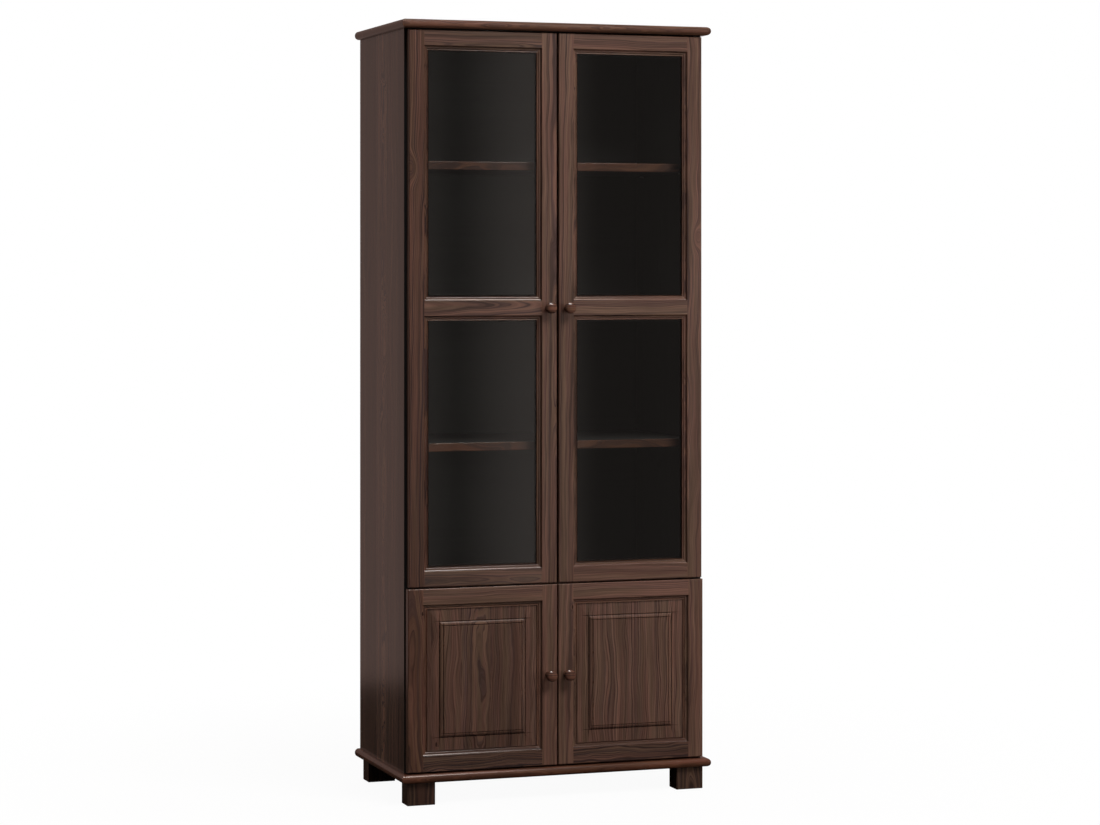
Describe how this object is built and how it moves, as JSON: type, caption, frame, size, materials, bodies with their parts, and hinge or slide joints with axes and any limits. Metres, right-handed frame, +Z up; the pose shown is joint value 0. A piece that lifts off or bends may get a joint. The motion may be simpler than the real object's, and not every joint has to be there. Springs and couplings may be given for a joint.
{
  "type": "bookcase",
  "caption": "Tall free-standing stained pine bookcase with glazed doors above raised-panel doors, turned knobs, loose shelves and block feet.",
  "frame": {"origin": "on the floor, under the middle of the overall box, knobs included", "axes": "+Z up, the doors face -Y, +X to the right of a person who faces the doors"},
  "size_m": [0.8, 0.457, 1.9],
  "materials": {
    "carcass_wood": "pine, walnut-brown stain, satin lacquer",
    "door_wood": "pine, walnut-brown stain, satin lacquer",
    "shelf_wood": "pine, walnut-brown stain, satin lacquer",
    "foot_wood": "pine, walnut-brown stain, satin lacquer",
    "knob_wood": "turned pine, walnut-brown stain, satin lacquer",
    "bead_wood": "pine, dark stain",
    "back_board": "thin board, charcoal stain",
    "dowel_wood": "bare beech",
    "glass": "clear float glass",
    "hinge_steel": "nickel-plated pressed steel",
    "pin_steel": "bright drawn steel",
    "screw_steel": "zinc-plated steel"
  },
  "bodies": {
    "carcass": {"left_side": "carcass_wood", "right_side": "carcass_wood", "top_board": "carcass_wood", "base_board": "carcass_wood", "back_panel": "back_board", "fixed_shelf": "shelf_wood", "lower_shelf": "shelf_wood", "middle_shelf": "shelf_wood", "upper_shelf": "shelf_wood", "shelf_pins": "pin_steel", "front_left_foot": "foot_wood", "front_right_foot": "foot_wood", "rear_left_foot": "foot_wood", "rear_right_foot": "foot_wood", "dowels": "dowel_wood", "hinge_arms": "hinge_steel", "hinge_plates": "hinge_steel", "hinge_pins": "pin_steel", "hinge_plate_screws": "screw_steel"},
    "upper_left_door": {"upper_left_bottom_rail": "door_wood", "upper_left_glazing_beads": "bead_wood", "upper_left_hinge_cups": "hinge_steel", "upper_left_hinge_stile": "door_wood", "upper_left_knob": "knob_wood", "upper_left_knob_screw": "screw_steel", "upper_left_lower_pane": "glass", "upper_left_meeting_stile": "door_wood", "upper_left_middle_rail": "door_wood", "upper_left_top_rail": "door_wood", "upper_left_upper_pane": "glass"},
    "upper_right_door": {"upper_right_bottom_rail": "door_wood", "upper_right_glazing_beads": "bead_wood", "upper_right_hinge_cups": "hinge_steel", "upper_right_hinge_stile": "door_wood", "upper_right_knob": "knob_wood", "upper_right_knob_screw": "screw_steel", "upper_right_lower_pane": "glass", "upper_right_meeting_stile": "door_wood", "upper_right_middle_rail": "door_wood", "upper_right_top_rail": "door_wood", "upper_right_upper_pane": "glass"},
    "lower_left_door": {"lower_left_bottom_rail": "door_wood", "lower_left_hinge_cups": "hinge_steel", "lower_left_hinge_stile": "door_wood", "lower_left_knob": "knob_wood", "lower_left_knob_screw": "screw_steel", "lower_left_meeting_stile": "door_wood", "lower_left_panel": "door_wood", "lower_left_top_rail": "door_wood"},
    "lower_right_door": {"lower_right_bottom_rail": "door_wood", "lower_right_hinge_cups": "hinge_steel", "lower_right_hinge_stile": "door_wood", "lower_right_knob": "knob_wood", "lower_right_knob_screw": "screw_steel", "lower_right_meeting_stile": "door_wood", "lower_right_panel": "door_wood", "lower_right_top_rail": "door_wood"}
  },
  "joints": [
    {"name": "upper_left_door_swing", "type": "hinge", "parent": "carcass", "child": "upper_left_door", "pos_m": [-0.372, -0.1825, 1.201], "axis": [0, 0, -1], "range_deg": [0, 95]},
    {"name": "upper_right_door_swing", "type": "hinge", "parent": "carcass", "child": "upper_right_door", "pos_m": [0.372, -0.1825, 1.201], "axis": [0, 0, 1], "range_deg": [0, 95]},
    {"name": "lower_left_door_swing", "type": "hinge", "parent": "carcass", "child": "lower_left_door", "pos_m": [-0.375, -0.1825, 0.3015], "axis": [0, 0, -1], "range_deg": [0, 95]},
    {"name": "lower_right_door_swing", "type": "hinge", "parent": "carcass", "child": "lower_right_door", "pos_m": [0.375, -0.1825, 0.3015], "axis": [0, 0, 1], "range_deg": [0, 95]}
  ]
}
